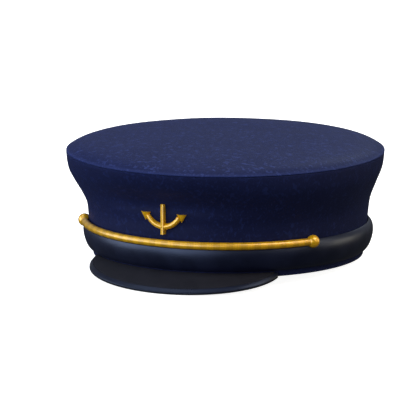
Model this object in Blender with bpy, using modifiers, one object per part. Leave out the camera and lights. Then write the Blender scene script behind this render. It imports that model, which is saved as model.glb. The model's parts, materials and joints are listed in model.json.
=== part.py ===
"""Captain's hat: a flared cloth crown with a padded band, a short peak, a gold cord and an anchor badge.

The hat is modelled in its own frame, with the hem in the plane Z = 0, its centre at the origin and
its front towards -Y. The whole hat is then tipped back until it rests on the back of the hem and the
front of the peak, as it does on a table. Lengths are in metres.
"""

import math
from collections import namedtuple

import bmesh
import bpy
from mathutils import Vector

# Cloth and clearances
HEAD_RADIUS = 0.0940
CLOTH = 0.0020
GAP = 0.0003

# Crown
CROWN_HEIGHT = 0.0751
FLARE = 0.0168
LEAN = 0.0046
DOME = 0.0095
FRONT_SET = 0.0075
FRONT_SPREAD = math.radians(58)

# Padded band
BAND_BOTTOM = 0.0041
BAND_TOP = 0.0247
BAND_BULGE = 0.0056

# Peak and its binding
PEAK_HALF_ANGLE = math.radians(46.8)
PEAK_DEPTH = 0.0155
PEAK_DROP = 0.0096
PEAK_THICKNESS = 0.0024
BINDING_END = 0.0020
BINDING_WIDTH = 0.0026
BINDING_BEVEL = 0.0026
BINDING_LIP = 0.0018
BINDING_LAP = 0.0040
BINDING_LEATHER = 0.0012

# Cord and buttons
CORD_RADIUS = 0.0027
CORD_HEIGHT = 0.0235
CORD_HALF_SPAN = math.radians(61.5)
BUTTON_RADIUS = 0.0046

# Anchor badge, measured from the foot of its shank and from the middle of the front
BADGE_BOTTOM = 0.0299
BADGE_DEPTH = 0.0036
BADGE_RAKE = 0.0006
SHANK_LENGTH = 0.0212
SHANK_WIDTH = 0.0026
ARM_HEIGHT = 0.0052
ARM_RADIUS = 0.0143
ARM_HALF_ANGLE = math.radians(60)
ARM_WIDTH = 0.0032
ARM_TIP_WIDTH = 0.0024
FLUKE_WIDTH = 0.0079
FLUKE_HEIGHT = 0.0066

# How far the arms' and flukes' faces lie through the badge, from its back to its front
ARM_BACK, ARM_FRONT = 0.08, 0.88
FLUKE_BACK, FLUKE_EDGE, FLUKE_TIP, FLUKE_RIDGE = 0.04, 0.50, 0.60, 0.96

# Fineness of the facets
SEGMENTS = 72
WALL_ROWS = 16
DOME_RINGS = 10
PEAK_SECTIONS = 37
CORD_POINTS = 49
CORD_ROUNDNESS = 3
SLOT_POINTS = 9
BALL_SEGMENTS = 16
SHANK_SECTIONS = 9
ARM_SECTIONS = 17
WELD = 1e-6

HEM_RADIUS = HEAD_RADIUS + CLOTH
SIDE_TOP = CROWN_HEIGHT - CLOTH - GAP

# The crown's outline from the hem up, as shares of CROWN_HEIGHT, FLARE and LEAN
CrownSection = namedtuple("CrownSection", "height flare lean")
CROWN_SECTIONS = (
    CrownSection(height=0.00, flare=0.000, lean=0.00),
    CrownSection(height=0.35, flare=0.185, lean=0.00),
    CrownSection(height=0.50, flare=0.265, lean=0.05),
    CrownSection(height=0.60, flare=0.420, lean=0.36),
    CrownSection(height=0.75, flare=0.730, lean=0.90),
    CrownSection(height=0.83, flare=0.890, lean=1.03),
    CrownSection(height=0.91, flare=0.965, lean=1.03),
    CrownSection(height=1.00, flare=1.000, lean=1.00),
)

# How the front is held back behind the badge, as shares of CROWN_HEIGHT and FRONT_SET
FrontSection = namedtuple("FrontSection", "height held")
FRONT_SECTIONS = (
    FrontSection(height=0.42, held=0.00),
    FrontSection(height=0.55, held=0.28),
    FrontSection(height=0.67, held=1.00),
    FrontSection(height=0.77, held=0.85),
    FrontSection(height=0.91, held=0.20),
    FrontSection(height=1.00, held=0.00),
)

# The top panel from its middle to the seam, as shares of its radius and of DOME
DomeSection = namedtuple("DomeSection", "radius height")
DOME_SECTIONS = (
    DomeSection(radius=0.00, height=1.000),
    DomeSection(radius=0.25, height=0.980),
    DomeSection(radius=0.50, height=0.920),
    DomeSection(radius=0.70, height=0.805),
    DomeSection(radius=0.82, height=0.670),
    DomeSection(radius=0.87, height=0.585),
    DomeSection(radius=0.92, height=0.465),
    DomeSection(radius=0.96, height=0.280),
    DomeSection(radius=1.00, height=0.000),
)

# The padded band's outer face from its bottom up, as shares of its height and of BAND_BULGE
BandSection = namedtuple("BandSection", "height bulge")
BAND_SECTIONS = (
    BandSection(height=0.00, bulge=0.10),
    BandSection(height=0.04, bulge=0.36),
    BandSection(height=0.11, bulge=0.60),
    BandSection(height=0.28, bulge=0.84),
    BandSection(height=0.54, bulge=0.98),
    BandSection(height=0.76, bulge=0.87),
    BandSection(height=0.90, bulge=0.58),
    BandSection(height=1.00, bulge=0.08),
)

Finish = namedtuple("Finish", "colour roughness metallic")
FINISHES = {
    "crown_cloth": Finish((0.022, 0.028, 0.085), 0.90, 0.0),
    "band_leather": Finish((0.012, 0.015, 0.040), 0.35, 0.0),
    "peak_leather": Finish((0.016, 0.016, 0.021), 0.55, 0.0),
    "binding_leather": Finish((0.014, 0.016, 0.034), 0.30, 0.0),
    "gold_thread": Finish((0.720, 0.430, 0.060), 0.38, 1.0),
    "gilt_metal": Finish((0.760, 0.480, 0.070), 0.28, 1.0),
}


def clear_scene():
    for old in list(bpy.data.objects):
        bpy.data.objects.remove(old)


def make_collection(name):
    collection = bpy.data.collections.new(name)
    bpy.context.scene.collection.children.link(collection)
    return collection


def make_material(name):
    finish = FINISHES[name]
    material = bpy.data.materials.new(name)
    material.use_nodes = True
    shader = material.node_tree.nodes["Principled BSDF"]
    shader.inputs["Base Color"].default_value = (*finish.colour, 1.0)
    shader.inputs["Roughness"].default_value = finish.roughness
    shader.inputs["Metallic"].default_value = finish.metallic
    return material


def add_object(name, mesh, collection, material=None):
    made = bpy.data.objects.new(name, mesh)
    collection.objects.link(made)
    if material:
        mesh.materials.append(material)
        mesh.shade_smooth()
        mesh.set_sharp_from_angle(angle=math.radians(35))
    return made


def make_cutter(name, mesh, collection):
    cutter = add_object(name, mesh, collection)
    cutter.hide_render = True
    cutter.display_type = "WIRE"
    return cutter


def mesh_from(bm, name):
    bmesh.ops.recalc_face_normals(bm, faces=bm.faces)
    mesh = bpy.data.meshes.new(name)
    bm.to_mesh(mesh)
    bm.free()
    return mesh


def loft(name, sections, closed=False):
    """A solid through equal loops of points. An open run of loops is capped at both ends."""
    bm = bmesh.new()
    loops = [[bm.verts.new(point) for point in section] for section in sections]
    following = loops[1:] + loops[:1] if closed else loops[1:]
    for near, far in zip(loops, following):
        for i in range(len(near)):
            j = (i + 1) % len(near)
            bm.faces.new((near[i], near[j], far[j], far[i]))
    if not closed:
        bm.faces.new(loops[0])
        bm.faces.new(loops[-1])
    bmesh.ops.remove_doubles(bm, verts=bm.verts, dist=WELD)
    bmesh.ops.dissolve_degenerate(bm, dist=WELD, edges=bm.edges)
    return mesh_from(bm, name)


def turned(name, profile):
    """A solid turned about Z from a closed profile of radius and height."""
    mesh = bpy.data.meshes.new(name)
    points = [(radius, 0.0, height) for radius, height in profile]
    edges = [(i, (i + 1) % len(points)) for i in range(len(points))]
    mesh.from_pydata(points, edges, [])
    return mesh


def add_screw(made):
    screw = made.modifiers.new("turn", "SCREW")
    screw.axis = "Z"
    screw.steps = SEGMENTS
    screw.render_steps = SEGMENTS
    screw.use_merge_vertices = True
    screw.merge_threshold = WELD
    screw.use_normal_calculate = True
    return screw


def add_boolean(made, other, operation):
    boolean = made.modifiers.new(f"{operation.lower()}_{other.name}", "BOOLEAN")
    boolean.operation = operation
    boolean.object = other
    boolean.solver = "EXACT"


def round_the_hat(radius, angle, height):
    """A point at an angle from the middle of the front, positive towards the wearer's left."""
    return Vector((radius * math.sin(angle), -radius * math.cos(angle), height))


def between(sections, at, column):
    """A smooth curve through one column of a table, along the table's first column."""
    places = [section[0] for section in sections]
    values = [getattr(section, column) for section in sections]
    at = min(max(at, places[0]), places[-1])
    slopes = []
    for i in range(len(sections)):
        below, above = max(i - 1, 0), min(i + 1, len(sections) - 1)
        slopes.append((values[above] - values[below]) / (places[above] - places[below]))
    i = 0
    while i < len(sections) - 2 and at > places[i + 1]:
        i += 1
    step = places[i + 1] - places[i]
    t = (at - places[i]) / step
    return (
        (2 * t**3 - 3 * t**2 + 1) * values[i]
        + (t**3 - 2 * t**2 + t) * step * slopes[i]
        + (3 * t**2 - 2 * t**3) * values[i + 1]
        + (t**3 - t**2) * step * slopes[i + 1]
    )


def wall_radius(height):
    """The outer radius of the crown's side, before it leans forward."""
    return HEM_RADIUS + FLARE * between(CROWN_SECTIONS, height / CROWN_HEIGHT, "flare")


def front_set(height, angle):
    """How far the front of the crown is held back, to stand upright behind the badge."""
    if abs(angle) >= FRONT_SPREAD:
        return 0.0
    across = math.cos(math.pi / 2 * angle / FRONT_SPREAD) ** 2
    return FRONT_SET * across * between(FRONT_SECTIONS, height / CROWN_HEIGHT, "held")


def on_wall(height, angle, out=0.0):
    """A point on the outer face of the crown's side, or a distance outside it."""
    lean = LEAN * between(CROWN_SECTIONS, height / CROWN_HEIGHT, "lean")
    radius = wall_radius(height) - front_set(height, angle) + out
    return round_the_hat(radius, angle, height) + Vector((0.0, -lean, 0.0))


def crown_side(collection, material):
    """The side of the crown: one wall of cloth from the hem to the top seam."""
    heights = [SIDE_TOP * i / WALL_ROWS for i in range(WALL_ROWS + 1)]
    sections = []
    for i in range(SEGMENTS):
        angle = 2 * math.pi * i / SEGMENTS
        if angle > math.pi:
            angle -= 2 * math.pi
        outside = [on_wall(height, angle) for height in heights]
        inside = [on_wall(height, angle, out=-CLOTH) for height in reversed(heights)]
        sections.append(outside + inside)
    return add_object("crown_side", loft("crown_side", sections, closed=True), collection, material)


def crown_top(collection, material):
    """The top panel: a low dome of cloth that closes the crown."""
    rim = wall_radius(CROWN_HEIGHT)
    shares = [math.sin(math.pi / 2 * i / DOME_RINGS) for i in range(DOME_RINGS + 1)]
    upper = [(rim * share, DOME * between(DOME_SECTIONS, share, "height")) for share in shares]
    lower = [(radius, height - CLOTH) for radius, height in reversed(upper)]
    mesh = bpy.data.meshes.new("crown_top")
    points = [(radius, 0.0, height) for radius, height in upper + lower]
    mesh.from_pydata(points, [(i, i + 1) for i in range(len(points) - 1)], [])
    panel = add_object("crown_top", mesh, collection, material)
    panel.location = (0.0, -LEAN, CROWN_HEIGHT)
    add_screw(panel).use_normal_flip = True
    return panel


def button_place(side):
    """The centre of a button, on the line of the cord. side is 1 for the wearer's left."""
    return round_the_hat(cord_line_radius(), side * CORD_HALF_SPAN, CORD_HEIGHT)


def cord_line_radius():
    """The cord lies against the wall, which is widest at the cord's upper edge."""
    return wall_radius(CORD_HEIGHT + CORD_RADIUS) + GAP + CORD_RADIUS


def cord_end():
    """The angle at which the cord ends, just clear of the button."""
    return CORD_HALF_SPAN - 2 * math.asin((BUTTON_RADIUS + GAP) / (2 * cord_line_radius()))


def ball(radius):
    bm = bmesh.new()
    bmesh.ops.create_uvsphere(bm, u_segments=BALL_SEGMENTS, v_segments=BALL_SEGMENTS // 2, radius=radius)
    return bm


def cord_slot():
    """The room for the cord in the top of the padded band, open to the wall behind it."""
    reach = CORD_RADIUS + GAP
    centre = cord_line_radius()
    behind = HEM_RADIUS - CLOTH
    turns = [math.pi * (i / (SLOT_POINTS - 1) - 0.5) for i in range(SLOT_POINTS)]
    profile = [(behind, CORD_HEIGHT - reach)]
    profile += [(centre + reach * math.cos(t), CORD_HEIGHT + reach * math.sin(t)) for t in turns]
    profile += [(centre, BAND_TOP + reach), (behind, BAND_TOP + reach)]
    sections = []
    for i in range(CORD_POINTS):
        angle = CORD_HALF_SPAN * (2 * i / (CORD_POINTS - 1) - 1)
        sections.append([round_the_hat(radius, angle, height) for radius, height in profile])
    return loft("cord_slot", sections)


def padded_band(collection, cutters, material):
    """The padded leather band round the foot of the crown, hollowed for the cord and the buttons."""
    tall = BAND_TOP - BAND_BOTTOM
    heights = [BAND_BOTTOM + tall * section.height for section in BAND_SECTIONS]
    inner = [(wall_radius(height) + GAP, height) for height in heights]
    outer = [
        (radius + BAND_BULGE * section.bulge, height)
        for (radius, height), section in zip(inner, BAND_SECTIONS)
    ]
    mesh = turned("padded_band", list(reversed(outer)) + inner)
    band = add_object("padded_band", mesh, collection, material)
    add_screw(band)
    slot = make_cutter("cord_slot", cord_slot(), cutters)
    add_boolean(band, slot, "DIFFERENCE")
    for side, name in ((1, "button_seat_left"), (-1, "button_seat_right")):
        seat = make_cutter(name, mesh_from(ball(BUTTON_RADIUS + GAP), name), cutters)
        seat.location = button_place(side)
        add_boolean(band, seat, "DIFFERENCE")
    return band


def button(name, side, collection, material):
    """A gilt ball button, flat where it is sewn against the wall."""
    bm = ball(BUTTON_RADIUS)
    outward = round_the_hat(1.0, side * CORD_HALF_SPAN, 0.0)
    cut = bmesh.ops.bisect_plane(
        bm,
        geom=bm.verts[:] + bm.edges[:] + bm.faces[:],
        plane_co=outward * -CORD_RADIUS,
        plane_no=outward,
        clear_inner=True,
    )
    rim = [edge for edge in cut["geom_cut"] if isinstance(edge, bmesh.types.BMEdge)]
    bmesh.ops.contextual_create(bm, geom=rim)
    made = add_object(name, mesh_from(bm, name), collection, material)
    made.location = button_place(side)
    return made


def front_cord(collection, material):
    """The gold cord along the front, from button to button."""
    curve = bpy.data.curves.new("front_cord", "CURVE")
    curve.dimensions = "3D"
    curve.bevel_depth = CORD_RADIUS
    curve.bevel_resolution = CORD_ROUNDNESS
    curve.use_fill_caps = True
    spline = curve.splines.new("POLY")
    spline.points.add(CORD_POINTS - 1)
    end = cord_end()
    for i, point in enumerate(spline.points):
        angle = end * (2 * i / (CORD_POINTS - 1) - 1)
        point.co = (*round_the_hat(cord_line_radius(), angle, CORD_HEIGHT), 1.0)
    guide = bpy.data.objects.new("front_cord_line", curve)
    collection.objects.link(guide)
    bpy.context.view_layer.update()
    mesh = bpy.data.meshes.new_from_object(guide.evaluated_get(bpy.context.evaluated_depsgraph_get()))
    bpy.data.objects.remove(guide)
    bm = bmesh.new()
    bm.from_mesh(mesh)
    bmesh.ops.remove_doubles(bm, verts=bm.verts, dist=WELD)
    return add_object("front_cord", mesh_from(bm, "front_cord"), collection, material)


PeakStation = namedtuple("PeakStation", "angle inner edge top")


def peak_station(turn):
    """Where the peak lies at a turn along its outline: its angle, its two radii and its edge's height."""
    inner = wall_radius(BAND_BOTTOM) + GAP
    end = inner + BINDING_END
    middle = end * math.cos(PEAK_HALF_ANGLE)
    half_width = end * math.sin(PEAK_HALF_ANGLE)
    forward = inner + PEAK_DEPTH - middle
    ahead = middle + forward * math.cos(turn)
    aside = half_width * math.sin(turn)
    drop = PEAK_DROP * (ahead - middle) / forward
    return PeakStation(
        angle=math.atan2(aside, ahead),
        inner=inner,
        edge=math.hypot(ahead, aside),
        top=BAND_BOTTOM - GAP - drop,
    )


def plate_edge(station):
    """The radius where the peak's plate ends and its binding begins."""
    return station.edge - BINDING_WIDTH - GAP


def peak_slope(station):
    """How fast the plate falls outwards at a station."""
    run = max(plate_edge(station) - station.inner, GAP)
    return (BAND_BOTTOM - GAP - station.top) / run


def plate_end():
    """The turn at which the plate has narrowed to the width of its own thickness."""
    low, high = 0.0, math.pi / 2
    for _ in range(40):
        turn = (low + high) / 2
        station = peak_station(turn)
        if plate_edge(station) - station.inner > PEAK_THICKNESS / 2:
            low = turn
        else:
            high = turn
    return low


def peak(collection, material):
    """The plate of the peak, which slopes down from under the padded band."""
    end = plate_end()
    sections = []
    for i in range(PEAK_SECTIONS):
        station = peak_station(end * (2 * i / (PEAK_SECTIONS - 1) - 1))
        top_inner = BAND_BOTTOM - GAP
        edge = plate_edge(station)
        corners = (
            (station.inner, top_inner),
            (edge, station.top),
            (edge, station.top - PEAK_THICKNESS),
            (station.inner, top_inner - PEAK_THICKNESS),
        )
        sections.append([round_the_hat(radius, station.angle, height) for radius, height in corners])
    return add_object("peak", loft("peak", sections), collection, material)


def peak_binding(collection, material):
    """The bevelled leather binding round the peak's edge, lapped under the plate."""
    deep = BINDING_BEVEL + BINDING_LIP
    sections = []
    for i in range(PEAK_SECTIONS):
        station = peak_station(math.pi / 2 * (2 * i / (PEAK_SECTIONS - 1) - 1))
        start = max(plate_edge(station) + GAP, station.inner)
        lap = min(BINDING_LAP, start - station.inner)
        rise = peak_slope(station) * lap if lap > 0 else 0.0
        under = station.top - PEAK_THICKNESS - GAP
        corners = (
            (start, station.top),
            (station.edge, station.top - BINDING_BEVEL),
            (station.edge, station.top - deep),
            (start - lap, under - BINDING_LEATHER + rise),
            (start - lap, under + rise),
            (start, under),
        )
        sections.append([round_the_hat(radius, station.angle, height) for radius, height in corners])
    return add_object("peak_binding", loft("peak_binding", sections), collection, material)


def badge_front(up):
    """The radius of the badge's front, which stands nearly upright."""
    return wall_radius(BADGE_BOTTOM) + GAP + BADGE_DEPTH - BADGE_RAKE * up / SHANK_LENGTH


def badge_point(across, up, through):
    """A point of the badge: across and up, and through it from the cloth to its front."""
    height = BADGE_BOTTOM + up
    angle = across / badge_front(0.0)
    back = on_wall(height, angle, out=GAP)
    front = round_the_hat(badge_front(up), angle, height)
    return back.lerp(front, through)


def shank():
    """The straight bar of the anchor."""
    half = SHANK_WIDTH / 2
    sections = []
    for i in range(SHANK_SECTIONS):
        up = SHANK_LENGTH * i / (SHANK_SECTIONS - 1)
        corners = ((-half, 0.0), (half, 0.0), (half, 1.0), (-half, 1.0))
        sections.append([badge_point(across, up, through) for across, through in corners])
    return loft("anchor_badge", sections)


def arms():
    """The curved arms of the anchor, which narrow towards their ends."""
    centre = ARM_HEIGHT + ARM_RADIUS
    sections = []
    for i in range(ARM_SECTIONS):
        share = 2 * i / (ARM_SECTIONS - 1) - 1
        angle = ARM_HALF_ANGLE * share
        half = (ARM_WIDTH + (ARM_TIP_WIDTH - ARM_WIDTH) * abs(share)) / 2
        section = []
        for aside, through in ((-half, ARM_BACK), (half, ARM_BACK), (half, ARM_FRONT), (-half, ARM_FRONT)):
            radius = ARM_RADIUS + aside
            across, up = radius * math.sin(angle), centre - radius * math.cos(angle)
            section.append(badge_point(across, up, through))
        sections.append(section)
    return loft("arms", sections)


def fluke(side):
    """A fluke: a wedge with a level top and its point down, ridged along the middle."""
    middle = side * ARM_RADIUS
    half = FLUKE_WIDTH / 2
    low = ARM_HEIGHT + ARM_RADIUS * (1 - math.cos(ARM_HALF_ANGLE)) - FLUKE_HEIGHT / 2
    top = low + FLUKE_HEIGHT
    outline = ((middle, low), (middle + half, top), (middle, top), (middle - half, top))
    faces = (FLUKE_TIP, FLUKE_EDGE, FLUKE_RIDGE, FLUKE_EDGE)
    back = [badge_point(across, up, FLUKE_BACK) for across, up in outline]
    front = [badge_point(across, up, through) for (across, up), through in zip(outline, faces)]
    return loft("fluke", [back, front])


def anchor_badge(collection, cutters, material):
    """The anchor on the front of the crown: one gilt casting."""
    badge = add_object("anchor_badge", shank(), collection, material)
    add_boolean(badge, make_cutter("anchor_arms", arms(), cutters), "UNION")
    for side, name in ((1, "left"), (-1, "right")):
        add_boolean(badge, make_cutter(f"anchor_fluke_{name}", fluke(side), cutters), "UNION")
    return badge


def box_round(pieces):
    """The low and high corners of the box round all the pieces, as they stand."""
    bpy.context.view_layer.update()
    graph = bpy.context.evaluated_depsgraph_get()
    points = []
    for piece in pieces:
        evaluated = piece.evaluated_get(graph)
        points += [evaluated.matrix_world @ vertex.co for vertex in evaluated.data.vertices]
    low = Vector([min(point[i] for point in points) for i in range(3)])
    high = Vector([max(point[i] for point in points) for i in range(3)])
    return low, high


def rest_on_table(pieces, helpers, collection):
    """Tips the hat back on to the hem and the peak, and centres its box over the origin."""
    inner = wall_radius(BAND_BOTTOM) + GAP
    peak_front = inner + PEAK_DEPTH
    peak_low = PEAK_DROP + BINDING_BEVEL + BINDING_LIP - BAND_BOTTOM + GAP
    rest = bpy.data.objects.new("rest", None)
    collection.objects.link(rest)
    for placed in [*pieces, *helpers]:
        placed.parent = rest
    rest.rotation_euler = (-math.atan2(peak_low, peak_front + HEM_RADIUS), 0.0, 0.0)
    low, high = box_round(pieces)
    rest.location = (-(low.x + high.x) / 2, -(low.y + high.y) / 2, -low.z)


def main():
    clear_scene()
    hat = make_collection("captain_hat")
    cutters = make_collection("captain_hat_cutters")
    finishes = {name: make_material(name) for name in FINISHES}
    pieces = [
        crown_side(hat, finishes["crown_cloth"]),
        crown_top(hat, finishes["crown_cloth"]),
        padded_band(hat, cutters, finishes["band_leather"]),
        button("button_left", 1, hat, finishes["gilt_metal"]),
        button("button_right", -1, hat, finishes["gilt_metal"]),
        front_cord(hat, finishes["gold_thread"]),
        peak(hat, finishes["peak_leather"]),
        peak_binding(hat, finishes["binding_leather"]),
        anchor_badge(hat, cutters, finishes["gilt_metal"]),
    ]
    rest_on_table(pieces, cutters.objects, hat)


main()
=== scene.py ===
"""Looks of a captain's hat: felted cloth crown, padded roll, bound peak, gold cord and anchor badge.

Every piece is made in the hat's own frame, with the hem in the plane Z = 0, its centre at the origin
and its front towards -Y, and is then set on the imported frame. Lengths are in metres.
"""

import json
import math
from collections import namedtuple

import bpy
from mathutils import Matrix, Vector, noise


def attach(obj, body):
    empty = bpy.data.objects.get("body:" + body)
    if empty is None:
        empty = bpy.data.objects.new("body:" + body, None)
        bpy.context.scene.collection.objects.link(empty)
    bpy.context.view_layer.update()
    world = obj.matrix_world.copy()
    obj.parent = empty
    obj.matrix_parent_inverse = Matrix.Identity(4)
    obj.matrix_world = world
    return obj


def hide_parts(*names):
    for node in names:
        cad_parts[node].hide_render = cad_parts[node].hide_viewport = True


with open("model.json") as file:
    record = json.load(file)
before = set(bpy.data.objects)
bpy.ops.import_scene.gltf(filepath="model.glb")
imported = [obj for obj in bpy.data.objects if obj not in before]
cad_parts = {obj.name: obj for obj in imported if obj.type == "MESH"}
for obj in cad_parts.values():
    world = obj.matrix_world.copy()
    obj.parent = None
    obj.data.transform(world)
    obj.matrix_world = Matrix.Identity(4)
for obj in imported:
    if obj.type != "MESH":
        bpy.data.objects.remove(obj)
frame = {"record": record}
bpy.ops.object.select_all(action="DESELECT")
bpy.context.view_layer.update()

# Cloth and clearances
HEAD_RADIUS = 0.0940
CLOTH = 0.0020
GAP = 0.0003
HEM_RADIUS = HEAD_RADIUS + CLOTH

# Crown
CROWN_HEIGHT = 0.0751
FLARE = 0.0168
LEAN = 0.0046
DOME = 0.0095
FRONT_SET = 0.0075
FRONT_SPREAD = math.radians(58)

# Padded roll
ROLL_BOTTOM = 0.0041
ROLL_TOP = 0.0247
ROLL_BULGE = 0.0056

# Peak and its binding
PEAK_HALF_ANGLE = math.radians(46.8)
PEAK_DEPTH = 0.0155
PEAK_DROP = 0.0096
PEAK_THICKNESS = 0.0024
BINDING_END = 0.0020
BINDING_WIDTH = 0.0026
BINDING_BEVEL = 0.0026
BINDING_LIP = 0.0018
BINDING_LAP = 0.0040
BINDING_LEATHER = 0.0012

# Cord and buttons
CORD_RADIUS = 0.0027
CORD_HEIGHT = 0.0235
CORD_HALF_SPAN = math.radians(61.5)
BUTTON_RADIUS = 0.0046

# Anchor badge, measured from the foot of its shank and from the middle of the front
BADGE_BOTTOM = 0.0299
BADGE_DEPTH = 0.0036
BADGE_RAKE = 0.0006
SHANK_LENGTH = 0.0212
ARM_HEIGHT = 0.0052
ARM_RADIUS = 0.0143
ARM_HALF_ANGLE = math.radians(60)
ARM_WIDTH = 0.0032
ARM_TIP_WIDTH = 0.0024
FLUKE_WIDTH = 0.0079
FLUKE_HEIGHT = 0.0066

WELD = 1e-6
STEPS_ROUND = 180
SMOOTH_ANGLE = math.radians(35)

# The crown's outline from the hem up, as shares of CROWN_HEIGHT, FLARE and LEAN
CrownSection = namedtuple("CrownSection", "height flare lean")
CROWN_SECTIONS = (
    CrownSection(height=0.00, flare=0.000, lean=0.00),
    CrownSection(height=0.35, flare=0.185, lean=0.00),
    CrownSection(height=0.50, flare=0.265, lean=0.05),
    CrownSection(height=0.60, flare=0.420, lean=0.36),
    CrownSection(height=0.75, flare=0.730, lean=0.90),
    CrownSection(height=0.83, flare=0.890, lean=1.03),
    CrownSection(height=0.91, flare=0.965, lean=1.03),
    CrownSection(height=1.00, flare=1.000, lean=1.00),
)

# How the front is held back behind the badge, as shares of CROWN_HEIGHT and FRONT_SET
FrontSection = namedtuple("FrontSection", "height held")
FRONT_SECTIONS = (
    FrontSection(height=0.42, held=0.00),
    FrontSection(height=0.55, held=0.28),
    FrontSection(height=0.67, held=1.00),
    FrontSection(height=0.77, held=0.85),
    FrontSection(height=0.91, held=0.20),
    FrontSection(height=1.00, held=0.00),
)

# The top panel from its middle to the seam, as shares of its radius and of DOME
DomeSection = namedtuple("DomeSection", "radius height")
DOME_SECTIONS = (
    DomeSection(radius=0.00, height=1.000),
    DomeSection(radius=0.25, height=0.980),
    DomeSection(radius=0.50, height=0.920),
    DomeSection(radius=0.70, height=0.805),
    DomeSection(radius=0.82, height=0.670),
    DomeSection(radius=0.87, height=0.585),
    DomeSection(radius=0.92, height=0.465),
    DomeSection(radius=0.96, height=0.280),
    DomeSection(radius=1.00, height=0.000),
)

# The roll's outer face from its bottom up, as shares of its height and of ROLL_BULGE
RollSection = namedtuple("RollSection", "height bulge")
ROLL_SECTIONS = (
    RollSection(height=0.00, bulge=0.10),
    RollSection(height=0.04, bulge=0.36),
    RollSection(height=0.11, bulge=0.60),
    RollSection(height=0.28, bulge=0.84),
    RollSection(height=0.54, bulge=0.98),
    RollSection(height=0.76, bulge=0.87),
    RollSection(height=0.90, bulge=0.58),
    RollSection(height=1.00, bulge=0.08),
)


def hat_frame():
    """Where the hat's own frame stands, from the mount in the head opening: the hem's centre and axis."""
    opening = next(m for m in frame["record"]["mounts"] if m["name"] == "head_opening")
    up = -Vector(opening["axis"]).normalized()
    across = Vector((1, 0, 0))
    back = up.cross(across)
    stands = Matrix((across, back, up)).transposed().to_4x4()
    stands.translation = Vector(opening["pos_m"])
    return stands


HAT = hat_frame()


# Camera, which sees the hat from the photograph's side with a long lens
PHOTO_SIZE = 420
PIXEL = 0.0007122
LENS_PIXELS = 4400
CAMERA_YAW = math.radians(26.6)
CAMERA_FALL = math.radians(10.7)
CAMERA_ACROSS = -18.2 * PIXEL
CAMERA_UP = 40.1 * PIXEL
CAMERA_LIFT = 0.0007
SENSOR_WIDTH = 36
VIEW_DEPTH = 20


def set_camera():
    """The photograph's camera, set by the hat's own frame."""
    data = bpy.data.cameras.new("photo_camera")
    data.sensor_width = SENSOR_WIDTH
    data.lens = LENS_PIXELS / PHOTO_SIZE * SENSOR_WIDTH
    data.clip_end = VIEW_DEPTH
    camera = bpy.data.objects.new("photo_camera", data)
    bpy.context.scene.collection.objects.link(camera)
    looks = Matrix.Rotation(CAMERA_YAW, 4, "Z") @ Matrix.Translation((0, 0, CAMERA_LIFT))
    looks = looks @ Matrix.Rotation(math.pi / 2 - CAMERA_FALL, 4, "X")
    place = Matrix.Translation((CAMERA_ACROSS, CAMERA_UP, LENS_PIXELS * PIXEL))
    camera.matrix_world = HAT @ looks @ place
    bpy.context.scene.camera = camera


set_camera()


# Shapes of the hat


def between(sections, at, column):
    """A smooth curve through one column of a table, along the table's first column."""
    places = [section[0] for section in sections]
    values = [getattr(section, column) for section in sections]
    at = min(max(at, places[0]), places[-1])
    slopes = []
    for i in range(len(sections)):
        below, above = max(i - 1, 0), min(i + 1, len(sections) - 1)
        slopes.append((values[above] - values[below]) / (places[above] - places[below]))
    i = 0
    while i < len(sections) - 2 and at > places[i + 1]:
        i += 1
    step = places[i + 1] - places[i]
    t = (at - places[i]) / step
    return (
        (2 * t**3 - 3 * t**2 + 1) * values[i]
        + (t**3 - 2 * t**2 + t) * step * slopes[i]
        + (3 * t**2 - 2 * t**3) * values[i + 1]
        + (t**3 - t**2) * step * slopes[i + 1]
    )


def round_the_hat(radius, angle, height):
    """A point at an angle from the middle of the front, positive towards the wearer's left."""
    return Vector((radius * math.sin(angle), -radius * math.cos(angle), height))


def angle_of(point):
    """The angle of a point from the middle of the front."""
    return math.atan2(point.x, -point.y)


def radius_of(point):
    """The distance of a point from the hat's axis."""
    return math.hypot(point.x, point.y)


def wall_radius(height):
    """The outer radius of the crown's wall, before it leans forward."""
    return HEM_RADIUS + FLARE * between(CROWN_SECTIONS, height / CROWN_HEIGHT, "flare")


def lean(height):
    """How far the crown leans forward at a height."""
    return LEAN * between(CROWN_SECTIONS, height / CROWN_HEIGHT, "lean")


def front_set(height, angle):
    """How far the front of the crown is held back, to stand upright behind the badge."""
    if abs(angle) >= FRONT_SPREAD:
        return 0.0
    across = math.cos(math.pi / 2 * angle / FRONT_SPREAD) ** 2
    return FRONT_SET * across * between(FRONT_SECTIONS, height / CROWN_HEIGHT, "held")


def on_wall(height, angle, out=0.0):
    """A point on the outer face of the crown's wall, or a distance outside it."""
    radius = wall_radius(height) - front_set(height, angle) + out
    return round_the_hat(radius, angle, height) + Vector((0.0, -lean(height), 0.0))


def cord_line_radius():
    """The cord lies against the wall, which is widest at the cord's upper edge."""
    return wall_radius(CORD_HEIGHT + CORD_RADIUS) + GAP + CORD_RADIUS


def button_place(side):
    """The centre of a button, on the line of the cord. side is 1 for the wearer's left."""
    return round_the_hat(cord_line_radius(), side * CORD_HALF_SPAN, CORD_HEIGHT)


# Ways of making a piece


def begun(name):
    """The primitive that was just added, under its piece's name."""
    made = bpy.context.active_object
    made.name = name
    made.data.name = name
    return made


def leave_edit_mode():
    """Joins double points and turns every face outwards on the way out."""
    bpy.ops.mesh.select_all(action="SELECT")
    bpy.ops.mesh.remove_doubles(threshold=WELD)
    bpy.ops.mesh.normals_make_consistent(inside=False)
    bpy.ops.object.mode_set(mode="OBJECT")


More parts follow.
